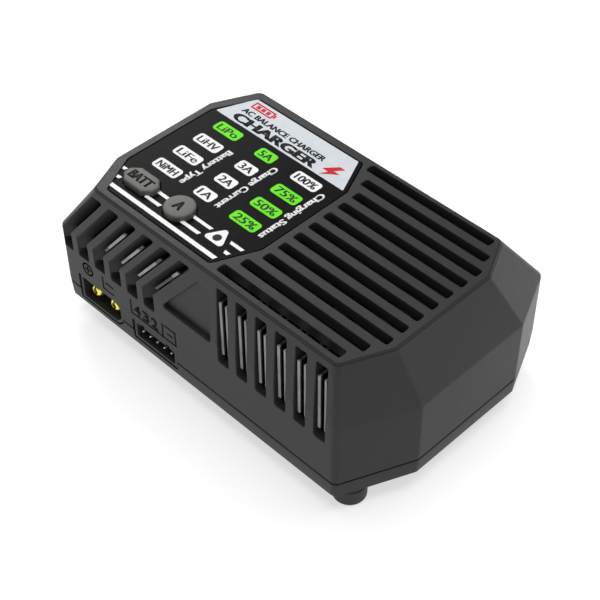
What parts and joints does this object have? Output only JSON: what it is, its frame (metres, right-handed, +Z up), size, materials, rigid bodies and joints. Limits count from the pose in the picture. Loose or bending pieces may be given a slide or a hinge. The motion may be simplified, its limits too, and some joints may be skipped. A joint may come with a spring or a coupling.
{
  "type": "balance battery charger",
  "caption": "Mains battery charger: two-shell octagonal plastic case with label keys and indicators, air grille, side vents, discharge and balance sockets.",
  "frame": {"origin": "centre of the bounding box in plan, on the plane that the feet stand on", "axes": "+X along the length towards the air grille end, -Y towards the battery sockets, +Z up"},
  "size_m": [0.1004, 0.0668, 0.0484],
  "materials": {
    "case_plastic": "fine matte",
    "label_film": "satin film with printed fields",
    "button_plastic": "satin",
    "light_guide": "clear, moulded",
    "circuit_board": "solder mask",
    "black_plastic": "satin",
    "gold_contact": "gold plated",
    "bright_metal": "bright plated",
    "heat_sink": "as extruded",
    "copper_wire": "enamelled copper winding",
    "winding_tape": "tape",
    "capacitor_sleeve": "shrink sleeve",
    "foot_rubber": "soft matte"
  },
  "bodies": {
    "case": {"balance_pin_1": "bright_metal", "balance_pin_2": "bright_metal", "balance_pin_3": "bright_metal", "balance_pin_4": "bright_metal", "balance_pin_5": "bright_metal", "balance_socket": "black_plastic", "bottom_shell": "case_plastic", "bulk_capacitor": "capacitor_sleeve", "button_switch_1": "black_plastic", "button_switch_2": "black_plastic", "case_screw_1": "bright_metal", "case_screw_2": "bright_metal", "case_screw_3": "bright_metal", "case_screw_4": "bright_metal", "discharge_pin_negative": "gold_contact", "discharge_pin_positive": "gold_contact", "discharge_socket": "black_plastic", "display_board": "circuit_board", "fan_frame": "black_plastic", "foot_1": "foot_rubber", "foot_2": "foot_rubber", "foot_3": "foot_rubber", "foot_4": "foot_rubber", "input_heat_sink": "heat_sink", "label_plate": "label_film", "light_guide_current": "light_guide", "light_guide_status": "light_guide", "light_guide_type": "light_guide", "main_board": "circuit_board", "mains_fuse": "winding_tape", "mains_inlet": "black_plastic", "mains_pin_left": "bright_metal", "mains_pin_right": "bright_metal", "output_capacitor": "capacitor_sleeve", "output_choke": "copper_wire", "output_heat_sink": "heat_sink", "top_shell": "case_plastic", "transformer_core": "black_plastic", "transformer_winding": "winding_tape"},
    "batt_key": {"batt_button": "button_plastic"},
    "amp_key": {"amp_button": "button_plastic"},
    "rotor": {"fan_rotor": "black_plastic"}
  },
  "joints": [
    {"name": "batt_key_press", "type": "slide", "parent": "case", "child": "batt_key", "axis": [0, 0, -1], "range_m": [0, 0.0004], "stiffness_N_per_m": 400, "springref_m": -0.0005},
    {"name": "amp_key_press", "type": "slide", "parent": "case", "child": "amp_key", "axis": [0, 0, -1], "range_m": [0, 0.0004], "stiffness_N_per_m": 400, "springref_m": -0.0005},
    {"name": "fan_spin", "type": "hinge", "parent": "case", "child": "rotor", "pos_m": [0.0272, -0.007, 0.0389], "axis": [0, 0, 1], "continuous": true}
  ]
}
